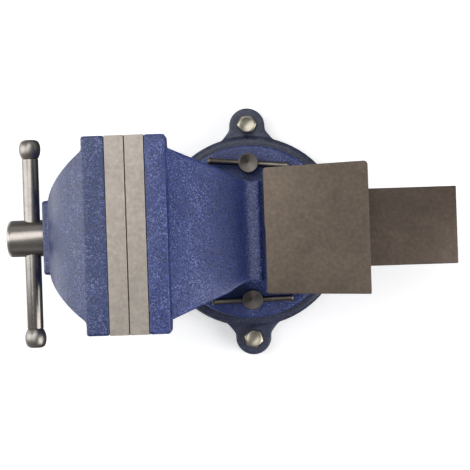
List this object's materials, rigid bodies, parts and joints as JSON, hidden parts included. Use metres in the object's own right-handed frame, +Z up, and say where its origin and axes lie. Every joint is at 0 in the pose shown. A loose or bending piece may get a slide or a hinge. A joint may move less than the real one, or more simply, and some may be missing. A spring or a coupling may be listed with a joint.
{
  "type": "machine vise",
  "caption": "Swivel-base machine vise with a sliding jaw, steel jaw plates, rear anvil pad, screw with T-handle, and a round base locked by cross-bar bolts.",
  "frame": {"origin": "on the swivel axis, at the flat underside of the base where it rests on the bench", "axes": "+Z up along the swivel axis; +X along the screw axis from the T-handle to the anvil at rest; +Y to the left seen from the handle"},
  "size_m": [0.4765, 0.277, 0.24],
  "materials": {
    "blue_enamel": "hammered blue enamel on cast iron, semi-gloss",
    "dark_enamel": "dark blue enamel on cast iron, semi-gloss",
    "machined_iron": "planed bare iron, oiled, brown-grey",
    "ground_steel": "ground steel, pale beige-grey with faint mottling",
    "turned_steel": "turned bright steel with fine rings",
    "plated_steel": "dull zinc-plated steel",
    "black_steel": "black oxide steel, oiled"
  },
  "bodies": {
    "base": {"swivel_base": "dark_enamel", "base_bolt_left": "plated_steel", "base_bolt_front": "plated_steel", "base_bolt_right": "plated_steel", "base_bolt_rear": "plated_steel"},
    "body": {"vise_body": "blue_enamel", "fixed_jaw_plate": "ground_steel", "fixed_plate_screw_left": "black_steel", "fixed_plate_screw_right": "black_steel", "main_nut": "machined_iron", "nut_bolt_front": "black_steel", "nut_bolt_rear": "black_steel", "lock_nut_left": "machined_iron", "lock_nut_right": "machined_iron"},
    "carriage": {"moving_jaw": "blue_enamel", "moving_jaw_plate": "ground_steel", "moving_plate_screw_left": "black_steel", "moving_plate_screw_right": "black_steel", "front_spring_washer": "plated_steel", "rear_spring_washer": "plated_steel", "screw_spring": "black_steel"},
    "screw": {"main_screw": "turned_steel", "retaining_pin": "black_steel"},
    "handle": {"tommy_bar": "turned_steel", "bar_knob_left": "turned_steel", "bar_knob_right": "turned_steel"},
    "lock_left": {"lock_bolt_left": "turned_steel"},
    "lock_right": {"lock_bolt_right": "turned_steel"},
    "lock_handle_left": {"lock_bar_left": "turned_steel"},
    "lock_handle_right": {"lock_bar_right": "turned_steel"}
  },
  "joints": [
    {"name": "swivel", "type": "hinge", "parent": "base", "child": "body", "pos_m": [0, 0, 0], "axis": [0, 0, 1], "continuous": true},
    {"name": "jaw_slide", "type": "slide", "parent": "body", "child": "carriage", "axis": [-1, 0, 0], "range_m": [0, 0.2]},
    {"name": "screw_spin", "type": "hinge", "parent": "carriage", "child": "screw", "pos_m": [-0.2342, 0, 0.115], "axis": [-1, 0, 0], "range_deg": [0, 14400]},
    {"name": "handle_slide", "type": "slide", "parent": "screw", "child": "handle", "axis": [0, 1, 0], "range_m": [-0.065, 0.0768]},
    {"name": "lock_turn_left", "type": "hinge", "parent": "body", "child": "lock_left", "pos_m": [0, 0.075, 0.05], "axis": [0, 0, 1], "range_deg": [-25, 25]},
    {"name": "lock_turn_right", "type": "hinge", "parent": "body", "child": "lock_right", "pos_m": [0, -0.075, 0.05], "axis": [0, 0, 1], "range_deg": [-25, 25]},
    {"name": "lock_bar_slide_left", "type": "slide", "parent": "lock_left", "child": "lock_handle_left", "axis": [0.9962, -0.0872, 0], "range_m": [-0.024, 0.024]},
    {"name": "lock_bar_slide_right", "type": "slide", "parent": "lock_right", "child": "lock_handle_right", "axis": [-0.9998, -0.0174, 0], "range_m": [-0.024, 0.024]}
  ],
  "couplings": [
    {"joint": "jaw_slide", "follows": "screw_spin", "m_per_rad": 0.00079577}
  ]
}
